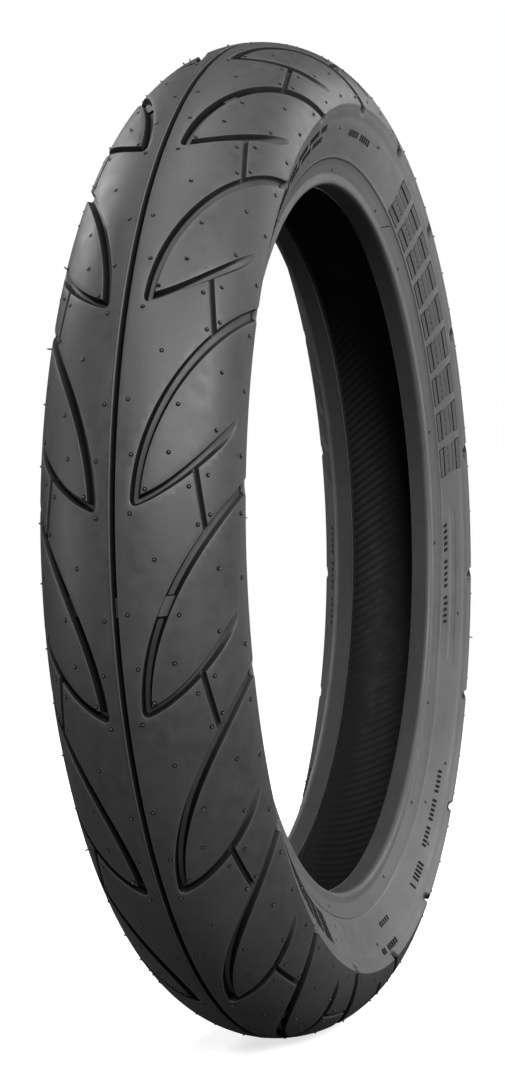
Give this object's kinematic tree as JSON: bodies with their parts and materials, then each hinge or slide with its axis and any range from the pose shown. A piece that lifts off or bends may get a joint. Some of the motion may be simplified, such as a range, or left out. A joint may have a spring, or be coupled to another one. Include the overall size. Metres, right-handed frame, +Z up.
{
  "type": "motorcycle tyre",
  "caption": "Tubeless bias-ply road tyre for a motorcycle wheel, round crown with a centre groove and curved V-shaped leaf grooves, bare casing with no wheel fitted.",
  "frame": {"origin": "centre of the wheel, on the axle line and in the tyre's centre plane", "axes": "+Y along the axle towards the left side, +Z up, +X level; the tyre stands upright"},
  "size_m": [0.6076, 0.1104, 0.6076],
  "materials": {
    "tread_rubber": "satin black rubber, slightly dusty, mould skin worn to matt grey on the crown",
    "base_rubber": "plain black rubber",
    "sidewall_rubber": "smooth dull grey-black rubber with moulded ribbed blocks",
    "rim_rubber": "smooth dark rubber",
    "liner_rubber": "semi-gloss black rubber with fine slanted ridges",
    "ply_fabric": "rubber-coated cord fabric",
    "bead_wire": "brass-coated steel wire"
  },
  "bodies": {
    "root": {"tread_cap": "tread_rubber", "tread_base": "base_rubber", "breaker_ply_outer": "ply_fabric", "breaker_ply_inner": "ply_fabric", "carcass_ply_outer": "ply_fabric", "carcass_ply_inner": "ply_fabric", "inner_liner": "liner_rubber", "breaker_edge_strip_left": "base_rubber", "breaker_edge_strip_right": "base_rubber", "sidewall_left": "sidewall_rubber", "sidewall_right": "sidewall_rubber", "bead_core_left": "bead_wire", "bead_core_right": "bead_wire", "bead_filler_left": "base_rubber", "bead_filler_right": "base_rubber", "bead_flipper_left": "ply_fabric", "bead_flipper_right": "ply_fabric", "chafer_left": "ply_fabric", "chafer_right": "ply_fabric", "rim_strip_left": "rim_rubber", "rim_strip_right": "rim_rubber"}
  },
  "joints": []
}
